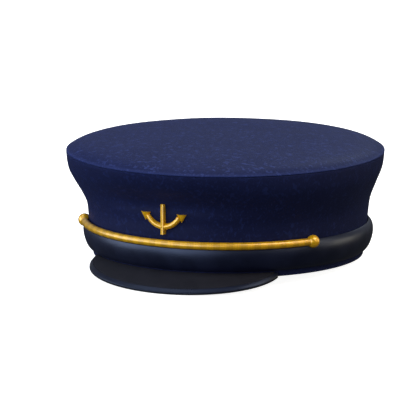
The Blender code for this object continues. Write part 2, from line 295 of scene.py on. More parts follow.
def drawn(name, profile, closed=False, start=0.0):
    """A line drawn through points of radius and height at one angle round the hat, left in edit mode."""
    points = [round_the_hat(radius, start, height) for radius, height in profile]
    if closed:
        points.append(points[0])
    bpy.ops.mesh.primitive_plane_add(size=WELD, enter_editmode=True)
    made = begun(name)
    bpy.ops.mesh.merge(type="CENTER")
    bpy.ops.transform.translate(value=points[0])
    for before, after in zip(points, points[1:]):
        bpy.ops.mesh.extrude_region_move(TRANSFORM_OT_translate={"value": after - before})
    bpy.ops.mesh.select_all(action="SELECT")
    bpy.ops.mesh.remove_doubles(threshold=WELD)
    return made


def spun(name, profile, closed=False, steps=STEPS_ROUND):
    """A line drawn through points of radius and height, then spun about the hat's axis."""
    made = drawn(name, profile, closed)
    bpy.ops.mesh.spin(steps=steps, angle=2 * math.pi, center=(0, 0, 0), axis=(0, 0, 1))
    leave_edit_mode()
    return made


def swept(name, place, rings, around):
    """A closed bar: a ring of points pushed out ring by ring and capped, then moved by place.

    place is given how far a point lies along the bar and round its section, each as a share, and
    the number of the point in its ring.
    """
    bpy.ops.mesh.primitive_circle_add(
        vertices=around, radius=1, rotation=(0, math.pi / 2, 0), enter_editmode=True
    )
    made = begun(name)
    bpy.ops.object.mode_set(mode="OBJECT")
    bpy.ops.object.transform_apply()
    bpy.ops.object.mode_set(mode="EDIT")
    bpy.ops.mesh.select_all(action="SELECT")
    for _ in range(rings - 1):
        bpy.ops.mesh.extrude_region_move(TRANSFORM_OT_translate={"value": (1, 0, 0)})
    bpy.ops.mesh.select_all(action="SELECT")
    bpy.ops.mesh.fill_holes(sides=0)
    bpy.ops.object.mode_set(mode="OBJECT")
    for vertex in made.data.vertices:
        turn = math.atan2(vertex.co.z, vertex.co.y) / (2 * math.pi) % 1.0
        count = round(turn * around) % around
        vertex.co = place(round(vertex.co.x) / (rings - 1), count / around, count)
    bpy.ops.object.mode_set(mode="EDIT")
    leave_edit_mode()
    return made


def rounded(corners, radius, count):
    """The corners of an outline, each turned into a short curve of count points."""
    points = []
    for i, corner in enumerate(corners):
        following = corners[(i + 1) % len(corners)]
        back = Vector(corners[i - 1]) - Vector(corner)
        ahead = Vector(following) - Vector(corner)
        reach = min(radius, back.length / 2, ahead.length / 2)
        if back.length > WELD:
            back = back.normalized() * reach
        if ahead.length > WELD:
            ahead = ahead.normalized() * reach
        for step in range(count):
            t = step / (count - 1)
            points.append(Vector(corner) + back * (1 - t) ** 2 + ahead * t**2)
    return points


def select_only(piece):
    bpy.ops.object.select_all(action="DESELECT")
    piece.select_set(True)
    bpy.context.view_layer.objects.active = piece


def apply_modifier(piece, kind, **settings):
    select_only(piece)
    bpy.ops.object.modifier_add(type=kind)
    modifier = piece.modifiers[-1]
    for name, value in settings.items():
        setattr(modifier, name, value)
    bpy.ops.object.modifier_apply(modifier=modifier.name)


def moved(piece, place):
    """Moves each point of a piece, as a sculptor's hand would."""
    for vertex in piece.data.vertices:
        vertex.co = place(vertex.co.copy())


def marked(piece, name, value):
    """Gives each point of a piece a number under a name, for its material to read."""
    values = [value(vertex.co) for vertex in piece.data.vertices]
    layer = piece.data.attributes.new(name, "FLOAT", "POINT")
    layer.data.foreach_set("value", values)


def finished(piece, material, slot, *nodes, smooth=SMOOTH_ANGLE):
    """Sets a piece on the frame: it gets its finish, rides on the hat and stands for its CAD nodes."""
    select_only(piece)
    piece.matrix_world = HAT
    bpy.ops.object.transform_apply()
    bpy.ops.object.shade_smooth_by_angle(angle=smooth)
    piece.data.materials.clear()
    piece.data.materials.append(material)
    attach(piece, "root")
    if nodes:
        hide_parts(*nodes)
    return piece


# Materials. The scale of a pattern is how often it repeats along a metre.

PATCH_SCALE = 32
PATCH_LIGHTER = 1.18
FIBRE_SCALE = 2600
SMALL_CURLS = 2.1
CURL_BREAKS = 1.3
CURL_SHARE = 0.62
SMALL_CURL_SHARE = 0.45
WORN_LIGHTER = 1.3
CLOTH_FINISH = {"roughness": 0.46, "specular_ior_level": 0.045, "sheen_weight": 0.03}
CLOTH_SHEEN = (0.30, 0.38, 1.0, 1.0)
FIBRE_RELIEF = 0.00012
CURL_RELIEF = 0.00010
PORES_FINER = 1.7
MOTTLE_SCALE = 60
CREASE_SCALE = 170
GRAIN_RELIEF = 0.00005
CREASE_RELIEF = 0.0002
COOL_GLOSS = (0.58, 0.68, 1.0, 1.0)
# Painted shade: the near black painted on the binding's lip under its bevel, and how much rougher that
# lip is
LIP_PAINTED_SHADE = (0.0008, 0.0008, 0.0012)
LIP_ROUGHER = 0.55
TARNISH_SCALE = 240
TARNISH_RELIEF = 0.00012
SCRATCH_SCALE = 4200
SCRATCH_RELIEF = 0.00002
STRAND_SCALE = 3600
STRAND_RELIEF = 0.00003
LACE_ROUGHNESS = 0.38
# Painted shade in the cord's grooves between the turns of thread.
GROOVE_PAINTED_SHADE = 0.45
GOLD_METAL = 0.35
GOLD_COAT = {"coat_weight": 1.0, "coat_roughness": 0.12, "coat_ior": 1.65}


def add_node(material, kind, sockets=None, **settings):
    """A new node of a kind, with its settings, and with its sockets linked or set."""
    made = material.node_tree.nodes.new(kind)
    for name, value in settings.items():
        setattr(made, name, value)
    for name, value in (sockets or {}).items():
        if isinstance(value, bpy.types.NodeSocket):
            material.node_tree.links.new(value, made.inputs[name])
        else:
            made.inputs[name].default_value = value
    return made


def new_material(name, **sockets):
    """A material whose shader has values that are the same all over the surface."""
    material = bpy.data.materials.new(name)
    material.use_nodes = True
    shader = material.node_tree.nodes["Principled BSDF"]
    for socket, value in sockets.items():
        shader.inputs[socket.replace("_", " ").title().replace("Ior", "IOR")].default_value = value
    return material


def stretched(material, scale=(1, 1, 1)):
    """Object coordinates, stretched along the hat's axes."""
    place = add_node(material, "ShaderNodeTexCoord").outputs["Object"]
    return add_node(material, "ShaderNodeMapping", {"Vector": place, "Scale": scale}).outputs["Vector"]


def speckle(material, place, scale, detail=3.0, rough=0.5, twist=0.0):
    """An uneven pattern of noise, between 0 and 1."""
    sockets = {"Vector": place, "Scale": scale, "Detail": detail, "Roughness": rough, "Distortion": twist}
    return add_node(material, "ShaderNodeTexNoise", sockets).outputs["Fac"]


def pebbled(material, place, scale):
    """Small rounded cells, as in the grain of leather."""
    sockets = {"Vector": place, "Scale": scale}
    return add_node(material, "ShaderNodeTexVoronoi", sockets, feature="SMOOTH_F1").outputs["Distance"]


def ranged(material, value, low, high, to_low=0.0, to_high=1.0):
    """A value moved smoothly from one range to another."""
    sockets = {"Value": value, "From Min": low, "From Max": high, "To Min": to_low, "To Max": to_high}
    return add_node(
        material, "ShaderNodeMapRange", sockets, interpolation_type="SMOOTHSTEP"
    ).outputs["Result"]


def calculated(material, operation, first, second=0.0):
    """The result of a sum on one or two values."""
    made = add_node(material, "ShaderNodeMath", operation=operation)
    for socket, value in zip(made.inputs, (first, second)):
        if isinstance(value, bpy.types.NodeSocket):
            material.node_tree.links.new(value, socket)
        else:
            socket.default_value = value
    return made.outputs["Value"]


def blended(material, share, first, second):
    """A colour between two others, by a share of the second."""
    made = add_node(material, "ShaderNodeMix", data_type="RGBA", blend_type="MIX")
    for index, value in ((0, share), (6, first), (7, second)):
        if isinstance(value, bpy.types.NodeSocket):
            material.node_tree.links.new(value, made.inputs[index])
        elif isinstance(value, tuple):
            made.inputs[index].default_value = (*value, 1.0)
        else:
            made.inputs[index].default_value = value
    return made.outputs[2]


def relief(material, height, depth, strength, under=None):
    """Fine relief from a pattern, laid over the relief under it."""
    sockets = {"Height": height, "Strength": strength, "Distance": depth}
    if under:
        sockets["Normal"] = under
    return add_node(material, "ShaderNodeBump", sockets).outputs["Normal"]


def drive(material, **links):
    """Joins colour, roughness or normal to the material's shader."""
    shader = material.node_tree.nodes["Principled BSDF"]
    for name, output in links.items():
        material.node_tree.links.new(output, shader.inputs[name.replace("_", " ")])


def attribute(material, name):
    """The number that marked() gave to each point of the piece."""
    return add_node(material, "ShaderNodeAttribute", attribute_name=name).outputs["Fac"]


def curls_of(material, place, scale):
    """Short curled fibres: bands along the contours of one noise, broken up by another."""
    contour = speckle(material, place, scale, detail=1.0, twist=0.6)
    off = calculated(material, "ABSOLUTE", calculated(material, "SUBTRACT", contour, 0.5))
    band = ranged(material, off, low=0.03, high=0.09, to_low=1.0, to_high=0.0)
    breaks = speckle(material, place, CURL_BREAKS * scale, detail=1.0)
    broken = ranged(material, breaks, low=0.54, high=0.64)
    return calculated(material, "MULTIPLY", band, broken)


def felted_cloth(name, deep, fleck, size, nap=(1, 1, 1)):
    """Navy felted wool: short curled fibres, a few lighter flecks, a little wear on the seams."""
    material = new_material(name, **CLOTH_FINISH)
    shader = material.node_tree.nodes["Principled BSDF"]
    shader.inputs["Sheen Tint"].default_value = CLOTH_SHEEN
    place = stretched(material)
    napped = stretched(material, nap)
    patches = speckle(material, place, PATCH_SCALE, detail=2)
    flecks = curls_of(material, napped, size)
    small_flecks = curls_of(material, napped, SMALL_CURLS * size)
    fibres = speckle(material, place, FIBRE_SCALE, detail=4, rough=0.7, twist=0.8)
    patched = ranged(material, patches, low=0.3, high=0.7)
    ground = blended(material, patched, deep, tuple(PATCH_LIGHTER * c for c in deep))
    fuzz = ranged(material, fibres, low=0.3, high=0.75, to_high=0.22)
    ground = blended(material, fuzz, ground, fleck)
    lit = blended(material, calculated(material, "MULTIPLY", flecks, CURL_SHARE), ground, fleck)
    lit = blended(material, calculated(material, "MULTIPLY", small_flecks, SMALL_CURL_SHARE), lit, fleck)
    worn = calculated(material, "MULTIPLY", attribute(material, "worn"), fibres)
    colour = blended(material, worn, lit, tuple(WORN_LIGHTER * c for c in fleck))
    curls = relief(material, fibres, depth=FIBRE_RELIEF, strength=0.6)
    lumps = relief(material, flecks, depth=CURL_RELIEF, strength=0.35, under=curls)
    drive(material, Base_Color=colour, Normal=lumps)
    return material


def coated_leather(name, deep, worn, rough, gloss, grain=1500, painted_lip=""):
    """Smooth coated leather: pebbled grain, soft mottling, fine creases and, where marked, painted shade
    on a rougher lip.
    """
    material = new_material(name, roughness=rough, specular_ior_level=gloss, specular_tint=COOL_GLOSS)
    place = stretched(material)
    pebbles = pebbled(material, place, grain)
    pores = speckle(material, place, grain * PORES_FINER, detail=2)
    mottle = speckle(material, place, MOTTLE_SCALE, detail=3, twist=0.4)
    lengthways = stretched(material, (1, 1, 2.2))
    creases = speckle(material, lengthways, CREASE_SCALE, detail=3, rough=0.6, twist=1.5)
    colour = blended(material, ranged(material, mottle, low=0.35, high=0.7), deep, worn)
    uneven = ranged(material, mottle, low=0.3, high=0.75, to_low=rough - 0.04, to_high=rough + 0.06)
    # Where marked, the colour is painted near black: painted shade on the lip under the bevel, which is
    # also made rougher.
    if painted_lip:
        edge = attribute(material, painted_lip)
        colour = blended(material, edge, colour, LIP_PAINTED_SHADE)
        uneven = calculated(material, "ADD", uneven, calculated(material, "MULTIPLY", edge, LIP_ROUGHER))
    grained = relief(material, pebbles, depth=GRAIN_RELIEF, strength=0.5)
    pored = relief(material, pores, depth=GRAIN_RELIEF / 2, strength=0.3, under=grained)
    creased = relief(material, creases, depth=CREASE_RELIEF, strength=0.12, under=pored)
    drive(material, Base_Color=colour, Roughness=uneven, Normal=creased)
    return material


def gilt(name, bright, dark, rough):
    """Gilt brass: warm, finely brushed, and darker where it has tarnished."""
    material = new_material(name, metallic=GOLD_METAL, roughness=rough, **GOLD_COAT)
    place = stretched(material)
    tarnish = speckle(material, place, TARNISH_SCALE, detail=4, rough=0.6, twist=0.5)
    brushed = stretched(material, (1, 1, 0.15))
    scratches = speckle(material, brushed, SCRATCH_SCALE, detail=2)
    colour = blended(material, ranged(material, tarnish, low=0.42, high=0.72, to_high=0.55), bright, dark)
    uneven = ranged(material, tarnish, low=0.3, high=0.75, to_low=rough - 0.05, to_high=rough + 0.12)
    cast = relief(material, tarnish, depth=TARNISH_RELIEF, strength=0.25)
    scratched = relief(material, scratches, depth=SCRATCH_RELIEF, strength=0.3, under=cast)
    drive(material, Base_Color=colour, Roughness=uneven, Normal=scratched)
    return material


def gold_lace(name, bright, dark):
    """Gold thread wound tightly round a core, in lengths that lie lighter and darker by turns, with
    painted shade in the grooves between the turns.
    """
    material = new_material(name, metallic=GOLD_METAL, roughness=LACE_ROUGHNESS, **GOLD_COAT)
    place = stretched(material)
    strands = speckle(material, place, STRAND_SCALE, detail=2)
    lengths = ranged(material, attribute(material, "length_tone"), low=0.2, high=0.8, to_high=0.55)
    tone = blended(material, lengths, bright, dark)
    colour = blended(material, ranged(material, strands, low=0.45, high=0.8, to_high=0.35), tone, dark)
    # Painted shade: the colour is darkened in the grooves between the turns of thread.
    shade = tuple(GROOVE_PAINTED_SHADE * c for c in dark)
    colour = blended(material, attribute(material, "painted_groove_shade"), colour, shade)
    stranded = relief(material, strands, depth=STRAND_RELIEF, strength=0.4)
    drive(material, Base_Color=colour, Normal=stranded)
    return material


# The top's and the wall's cloth are one felt, painted as lit and shaded copies: the wall's flecks are
# painted darker, as painted shade on the wall.
CROWN_NAVY = (0.0056, 0.0090, 0.043)
CROWN_FLECK = (0.029, 0.044, 0.165)
SIDE_NAVY = (0.0090, 0.0114, 0.041)
SIDE_FLECK_SHADED = (0.0165, 0.0245, 0.095)
ROLL_NAVY = (0.0014, 0.0021, 0.0115)
ROLL_WORN = (0.0024, 0.0036, 0.018)
PEAK_CHARCOAL = (0.0145, 0.0138, 0.0180)
PEAK_WORN = (0.0180, 0.0172, 0.0220)
BINDING_NAVY = (0.004, 0.0055, 0.014)
BINDING_WORN = (0.006, 0.008, 0.021)
GOLD = (1.00, 0.52, 0.0)
GOLD_DARK = (0.62, 0.30, 0.0)

top_cloth = felted_cloth("crown_top_felt", CROWN_NAVY, CROWN_FLECK, size=190)
# The wall's felt, painted darker than the top's as painted shade.
shaded_side_cloth = felted_cloth("crown_side_felt_shaded", SIDE_NAVY, SIDE_FLECK_SHADED, size=240, nap=(1, 1, 0.7))
roll_leather = coated_leather("roll_glossy_navy", ROLL_NAVY, ROLL_WORN, rough=0.39, gloss=0.85)
peak_leather = coated_leather(
    "peak_charcoal", PEAK_CHARCOAL, PEAK_WORN, rough=0.6, gloss=0.08, grain=1900
)
# The binding's lip under its bevel gets painted shade.
binding_leather = coated_leather(
    "binding_glossy_navy", BINDING_NAVY, BINDING_WORN, rough=0.30, gloss=0.36, painted_lip="painted_shade_lip"
)
badge_gilt = gilt("badge_gilt", GOLD, GOLD_DARK, rough=0.3)
button_gilt = gilt("button_gilt", GOLD, GOLD_DARK, rough=0.26)
cord_gold = gold_lace("cord_gold_thread", GOLD, GOLD_DARK)


# Crown

SEAM_FOLD = 0.0008
SEAM_OPEN = 0.0003
SEAM_ROUND = 0.0003
TURN_UP = 0.0110
TURN_UP_THICK = 0.0007
WALL_ROWS = 34
WALL_RIPPLE = 0.00022
WALL_RIPPLE_SCALE = 3.1
WALL_RIPPLE_UP = 26
TOP_RINGS = 44
TOP_EDGE_FOLD = 1.6 * CLOTH
TOP_UNDERSIDE_EDGE = 2.2 * CLOTH
TOP_RIPPLE = 0.00045
TOP_RIPPLE_SCALE = 22
WALL_WEAR_DEPTH = 0.0012
TOP_WEAR_DEPTH = 0.0015
SEAM_WEAR = 0.5


def crown_wall():
    """The flared wall: one layer of cloth, turned up inside at the hem and in at the top seam."""
    top = CROWN_HEIGHT - SEAM_FOLD - SEAM_OPEN
    rise = top - 2 * SEAM_ROUND
    heights = [SEAM_ROUND + rise * i / WALL_ROWS for i in range(WALL_ROWS + 1)]
    outside = [(wall_radius(height), height) for height in heights]
    seam = [(wall_radius(top) - SEAM_ROUND, top), (wall_radius(top) - CLOTH + SEAM_ROUND, top)]
    inside = [(radius - CLOTH, height) for radius, height in reversed(outside) if height > TURN_UP]
    fold = wall_radius(TURN_UP) - CLOTH
    turned = [
        (fold, TURN_UP),
        (fold - TURN_UP_THICK / 2, TURN_UP - SEAM_ROUND / 2),
        (fold - TURN_UP_THICK, TURN_UP - 2 * SEAM_ROUND),
        (HEM_RADIUS - CLOTH - TURN_UP_THICK / 2, 3 * SEAM_ROUND),
        (HEM_RADIUS - CLOTH, SEAM_ROUND / 2),
        (HEM_RADIUS - CLOTH + SEAM_ROUND, 0.0),
        (HEM_RADIUS - SEAM_ROUND, 0.0),
    ]
    wall = spun("crown_wall_cloth", outside + seam + inside + turned, closed=True)

    def shaped(point):
        angle = angle_of(point)
        radius = radius_of(point) - front_set(point.z, angle)
        on_drum = Vector((math.sin(angle), math.cos(angle), point.z * WALL_RIPPLE_UP))
        ripple = WALL_RIPPLE * noise.noise(on_drum * WALL_RIPPLE_SCALE)
        return round_the_hat(radius + ripple, angle, point.z) + Vector((0, -lean(point.z), 0))

    moved(wall, shaped)
    marked(wall, "worn", lambda p: max(0.0, 1 - (top - p.z) / WALL_WEAR_DEPTH) * SEAM_WEAR)
    return finished(wall, shaded_side_cloth, "crown_cloth", "crown_side")


def crown_top():
    """The top panel: a low dome of cloth, folded under at its edge and sewn to the wall."""
    rim = wall_radius(CROWN_HEIGHT)
    shares = [math.sin(math.pi / 2 * i / TOP_RINGS) for i in range(TOP_RINGS)]
    above = []
    for share in shares:
        if rim * share < rim - SEAM_ROUND:
            above.append((rim * share, CROWN_HEIGHT + DOME * between(DOME_SECTIONS, share, "height")))
    edge = [
        (rim - SEAM_ROUND / 3, CROWN_HEIGHT),
        (rim, CROWN_HEIGHT - SEAM_ROUND),
        (rim, CROWN_HEIGHT - SEAM_FOLD + SEAM_ROUND),
        (rim - SEAM_ROUND, CROWN_HEIGHT - SEAM_FOLD),
        (rim - TOP_EDGE_FOLD, CROWN_HEIGHT - SEAM_FOLD),
    ]
    inner = rim - TOP_UNDERSIDE_EDGE
    below = [(radius, height - CLOTH) for radius, height in reversed(above) if radius < inner]
    panel = spun("crown_top_cloth", above + edge + below)

    def shaped(point):
        share = radius_of(point) / rim
        ripple = TOP_RIPPLE * (1 - share**6) * noise.noise(point * TOP_RIPPLE_SCALE)
        return point + Vector((0, -LEAN, ripple))

    moved(panel, shaped)
    marked(panel, "worn", lambda p: max(0.0, 1 - (p.z - CROWN_HEIGHT) / TOP_WEAR_DEPTH) * SEAM_WEAR)
    return finished(panel, top_cloth, "crown_cloth", "crown_top")


# Padded roll

ROLL_STEPS = 200
ROLL_OUTER_ROWS = 12
ROLL_INNER_ROWS = 6
ROLL_SLACK = 0.90
ROLL_MOST = 0.0008
ROLL_PRESSURE = 4.0
ROLL_FRAMES = 16
COVER_MASS = 0.05
COVER_STRETCH = 12
COVER_BEND = 0.4
SEWN_WITHIN = 2.2 * GAP
CORD_ROOM = 0.0002


def blown_up(piece, sewn, pressure, frames, most):
    """Blows a piece up as its padding does, held where it is sewn; no point moves further than most."""
    group = piece.vertex_groups.new(name="sewn")
    group.add([v.index for v in piece.data.vertices if sewn(v.co)], 1.0, "REPLACE")
    before = [vertex.co.copy() for vertex in piece.data.vertices]
    select_only(piece)
    bpy.ops.object.modifier_add(type="CLOTH")
    padding = piece.modifiers[-1]
    padding.settings.use_pressure = True
    padding.settings.uniform_pressure_force = pressure
    padding.settings.vertex_group_mass = group.name
    padding.settings.effector_weights.gravity = 0
    padding.settings.mass = COVER_MASS
    padding.settings.tension_stiffness = COVER_STRETCH
    padding.settings.compression_stiffness = COVER_STRETCH
    padding.settings.bending_stiffness = COVER_BEND
    padding.point_cache.frame_start = 1
    padding.point_cache.frame_end = frames
    scene = bpy.context.scene
    for count in range(1, frames + 1):
        scene.frame_set(count)
    bpy.ops.object.modifier_apply(modifier=padding.name)
    scene.frame_set(1)
    for vertex, was in zip(piece.data.vertices, before):
        shift = vertex.co - was
        if shift.length > most:
            vertex.co = was + shift.normalized() * most
    piece.vertex_groups.clear()


def padded_roll():
    """The roll round the foot of the crown: padding in a glossy cover, pressed in by cord and buttons."""
    tall = ROLL_TOP - ROLL_BOTTOM
    outer = []
    for i in range(ROLL_OUTER_ROWS + 1):
        share = (1 - math.cos(math.pi * i / ROLL_OUTER_ROWS)) / 2
        height = ROLL_BOTTOM + tall * share
        bulge = ROLL_BULGE * ROLL_SLACK * between(ROLL_SECTIONS, share, "bulge")
        outer.append((wall_radius(height) + GAP + bulge, height))
    inner = []
    for i in range(1, ROLL_INNER_ROWS):
        height = ROLL_TOP - tall * i / ROLL_INNER_ROWS
        inner.append((wall_radius(height) + GAP, height))
    roll = spun("roll_cover", outer + inner, closed=True, steps=ROLL_STEPS)
    blown_up(
        roll,
        sewn=lambda p: radius_of(p) < wall_radius(p.z) + SEWN_WITHIN,
        pressure=ROLL_PRESSURE,
        frames=ROLL_FRAMES,
        most=ROLL_MOST,
    )
    apply_modifier(roll, "SUBSURF", levels=1, render_levels=1)

    def pressed(point):
        angle, radius = angle_of(point), radius_of(point)
        reach = CORD_RADIUS + CORD_ROOM
        away = radius - cord_line_radius()
        if abs(angle) < CORD_HALF_SPAN and abs(away) < reach:
            lowest = CORD_HEIGHT - math.sqrt(reach**2 - away**2)
            if point.z > lowest:
                point = round_the_hat(radius, angle, lowest)
        for side in (1, -1):
            off = point - button_place(side)
            if off.length < BUTTON_RADIUS + CORD_ROOM:
                point = button_place(side) + off.normalized() * (BUTTON_RADIUS + CORD_ROOM)
        least = wall_radius(point.z) + CORD_ROOM / 2
        if radius_of(point) < least:
            point = round_the_hat(least, angle_of(point), point.z)
        return point

    moved(roll, pressed)
    finished(roll, roll_leather, "band_leather", "padded_band")
    return roll


# Peak

PEAK_RINGS = 81
PLATE_CURVE = 4
PLATE_ROUND = 0.0006
BINDING_ROUND = 0.0007
BINDING_CURVE = 4
LIP_FADE = 0.0005
HALVINGS = 40
PeakStation = namedtuple("PeakStation", "angle inner edge top")


def peak_station(turn):
    """Where the peak lies at a turn along its outline: its angle, its two radii and its edge's height."""
    inner = wall_radius(ROLL_BOTTOM) + GAP
    end = inner + BINDING_END
    middle = end * math.cos(PEAK_HALF_ANGLE)
    half_width = end * math.sin(PEAK_HALF_ANGLE)
    forward = inner + PEAK_DEPTH - middle
    ahead = middle + forward * math.cos(turn)
    aside = half_width * math.sin(turn)
    drop = PEAK_DROP * (ahead - middle) / forward
    return PeakStation(
        angle=math.atan2(aside, ahead),
        inner=inner,
        edge=math.hypot(ahead, aside),
        top=ROLL_BOTTOM - GAP - drop,
    )


def plate_edge(station):
    """How far out the plate reaches, inside its binding."""
    return station.edge - BINDING_WIDTH - GAP


def peak_slope(station):
    """How far the plate falls for each metre outwards."""
    run = max(plate_edge(station) - station.inner, GAP)
    return (ROLL_BOTTOM - GAP - station.top) / run


def plate_end():
    """The turn at which the plate has narrowed to the width of its own thickness."""
    low, high = 0.0, math.pi / 2
    for _ in range(HALVINGS):
        turn = (low + high) / 2
        station = peak_station(turn)
        if plate_edge(station) - station.inner > PEAK_THICKNESS / 2:
            low = turn
        else:
            high = turn
    return low


def peak_plate():
    """The stiff plate of the peak, with rounded edges."""
    end = plate_end()

    def place(share, _turn, count):
        station = peak_station(end * (2 * share - 1))
        top_inner = ROLL_BOTTOM - GAP
        edge = plate_edge(station) + GAP / 2
        corners = (
            (station.inner, top_inner),
            ((station.inner + edge) / 2, (top_inner + station.top) / 2),
            (edge, station.top),
            (edge, station.top - PEAK_THICKNESS),
            ((station.inner + edge) / 2, (top_inner + station.top) / 2 - PEAK_THICKNESS),
            (station.inner, top_inner - PEAK_THICKNESS),
        )
        radius, height = rounded(corners, PLATE_ROUND, PLATE_CURVE)[count]
        return round_the_hat(radius, station.angle, height)

    plate = swept("peak_plate", place, PEAK_RINGS, 6 * PLATE_CURVE)
    return finished(plate, peak_leather, "peak_leather", "peak")


def peak_edge():
    """The binding sewn over the peak's edge: a bevelled face, a lip painted dark as painted shade, and a
    lap underneath.
    """
    deep = BINDING_BEVEL + BINDING_LIP

    def place(share, _turn, count):
        station = peak_station(math.pi / 2 * (2 * share - 1))
        start = max(plate_edge(station) + GAP, station.inner)
        lap = min(BINDING_LAP, start - station.inner)
        rise = peak_slope(station) * lap if lap > 0 else 0.0
        under = station.top - PEAK_THICKNESS - GAP
        corners = (
            (start, station.top),
            (station.edge, station.top - BINDING_BEVEL),
            (station.edge, station.top - deep),
            (start - lap, under - BINDING_LEATHER + rise),
            (start - lap, under + rise),
            (start, under),
        )
        radius, height = rounded(corners, BINDING_ROUND, BINDING_CURVE)[count]
        return round_the_hat(radius, station.angle, height)

    binding = swept("peak_edge_binding", place, PEAK_RINGS, 6 * BINDING_CURVE)
    front, side = peak_station(0.0), peak_station(math.pi / 2)
    middle = side.edge * math.cos(side.angle)

    def lip(point):
        drop = PEAK_DROP * (-point.y - middle) / (front.edge - middle)
        below = side.top - drop - BINDING_BEVEL - point.z
        return min(max(below / LIP_FADE, 0.0), 1.0)

    # Marks the lip under the bevel for its painted shade.
    marked(binding, "painted_shade_lip", lip)
    return finished(binding, binding_leather, "binding_leather", "peak_binding")


# Cord and buttons

CORD_STEPS = 1320
CORD_SIDES = 20
THREAD_PITCH = 0.0011
THREAD_DEPTH = 0.00005
THREAD_SHADE = 0.35
TONE_LENGTH = 0.0046
CORD_SMOOTH = math.radians(60)


def gold_cord():
    """The cord: gold thread wound round a core, spun as one arc from button to button."""
    line = cord_line_radius()
    profile = []
    for i in range(CORD_SIDES):
        turn = 2 * math.pi * i / CORD_SIDES
        profile.append((line + CORD_RADIUS * math.cos(turn), CORD_HEIGHT + CORD_RADIUS * math.sin(turn)))
    end = CORD_HALF_SPAN - (BUTTON_RADIUS - CORD_RADIUS / 2) / line
    cord = drawn("gold_cord", profile, closed=True, start=-end)
    bpy.ops.object.mode_set(mode="OBJECT")
    apply_modifier(cord, "SCREW", axis="Z", angle=2 * end, steps=CORD_STEPS, render_steps=CORD_STEPS)
    bpy.ops.object.mode_set(mode="EDIT")
    bpy.ops.mesh.select_all(action="SELECT")
    bpy.ops.mesh.fill_holes(sides=0)
    leave_edit_mode()

    def groove(point):
        along = angle_of(point) * line
        turn = math.atan2(point.z - CORD_HEIGHT, radius_of(point) - line)
        wave = math.cos(2 * math.pi * along / THREAD_PITCH + turn)
        return (0.5 - 0.5 * wave) ** 3

    def tone(point):
        return 0.5 + 0.5 * math.sin(math.pi * angle_of(point) * line / TONE_LENGTH)

    # Marks the grooves for the painted shade in them.
    marked(cord, "painted_groove_shade", lambda p: THREAD_SHADE * groove(p))
    marked(cord, "length_tone", tone)

    def wound(point):
        centre = round_the_hat(line, angle_of(point), CORD_HEIGHT)
        off = point - centre
        return centre + off.normalized() * (off.length - THREAD_DEPTH * groove(point))

    moved(cord, wound)
    return finished(cord, cord_gold, "gold_thread", "front_cord", smooth=CORD_SMOOTH)


BUTTON_FLAT = CORD_RADIUS
BUTTON_SEGMENTS = 64
BUTTON_RINGS = 40
BACK_INSET = 0.0004
BACK_RAISED = 0.0003
CRIMP_DEPTH = 0.03
CRIMP_WIDTH = 0.00025


def ball_button(side, node):
    """A gilt ball button, with a flat back and a fine crimp round the ball."""
    bpy.ops.mesh.primitive_uv_sphere_add(
        segments=BUTTON_SEGMENTS,
        ring_count=BUTTON_RINGS,
        radius=BUTTON_RADIUS,
        rotation=(math.pi / 2, 0, 0),
        enter_editmode=True,
    )
    made = begun(f"ball_{node}")
    bpy.ops.object.mode_set(mode="OBJECT")
    bpy.ops.object.transform_apply()
    bpy.ops.object.mode_set(mode="EDIT")
    bpy.ops.mesh.select_all(action="SELECT")
    bpy.ops.mesh.bisect(plane_co=(0, BUTTON_FLAT, 0), plane_no=(0, 1, 0), clear_outer=True, use_fill=True)
    bpy.ops.mesh.inset(thickness=BACK_INSET)
    bpy.ops.transform.translate(value=(0, -BACK_RAISED, 0))
    bpy.ops.mesh.inset(thickness=BACK_INSET)
    leave_edit_mode()

    def crimped(point):
        ring = math.exp(-(((point.y - BUTTON_FLAT / 2) / CRIMP_WIDTH) ** 2))
        return point * (1 - CRIMP_DEPTH * ring)

    moved(made, crimped)
    turn = Matrix.Rotation(side * CORD_HALF_SPAN, 4, "Z")
    made.data.transform(Matrix.Translation(button_place(side)) @ turn)
    return finished(made, button_gilt, "gilt_metal", node)


# Anchor badge

SHANK_BACK_WIDTH = 0.0036
SHANK_FACE_WIDTH = 0.0020
SHANK_BEVEL = 0.00015
SHANK_CURVE = 3
SHANK_RINGS = 13
BADGE_LEAN = 0.0005
BADGE_BACK = 0.0002
ARM_DEPTH = 0.0031
ARM_BROADER = 0.0014
FLUKE_DEPTH = 0.0034
FLUKE_POINT = 0.06
FLUKE_RISE = 0.0057
FLUKE_RINGS = 9
FLUKE_POINT_DEPTH = 0.45
ARM_RINGS = 41
SECTION_POINTS = 24
BACK_SHARE = 0.25
ANCHOR_SMOOTH = math.radians(28)


def badge_front(up):
    """The radius of the badge's front, which stands nearly upright."""
    return wall_radius(BADGE_BOTTOM) + GAP + BADGE_DEPTH + (BADGE_LEAN - BADGE_RAKE) * up / SHANK_LENGTH


def badge_point(point):
    """Bends the flat badge on to the crown: X across, Y through it from back to front, Z up."""
    height = BADGE_BOTTOM + point.z
    angle = point.x / badge_front(0.0)
    back = on_wall(height, angle, out=GAP)
    front = round_the_hat(badge_front(point.z), angle, height)
    return back.lerp(front, point.y / BADGE_DEPTH)


def half_round(turn, half, deep):
    """A point of a half-round bar's section: flat at the back, bulging out at the front."""
    angle = math.pi * min(turn / (1 - BACK_SHARE), 1.0)
    if turn > 1 - BACK_SHARE:
        across = -half + 2 * half * (turn - (1 - BACK_SHARE)) / BACK_SHARE
        return across, BADGE_BACK
    return half * math.cos(angle), BADGE_BACK + deep * math.sin(angle)


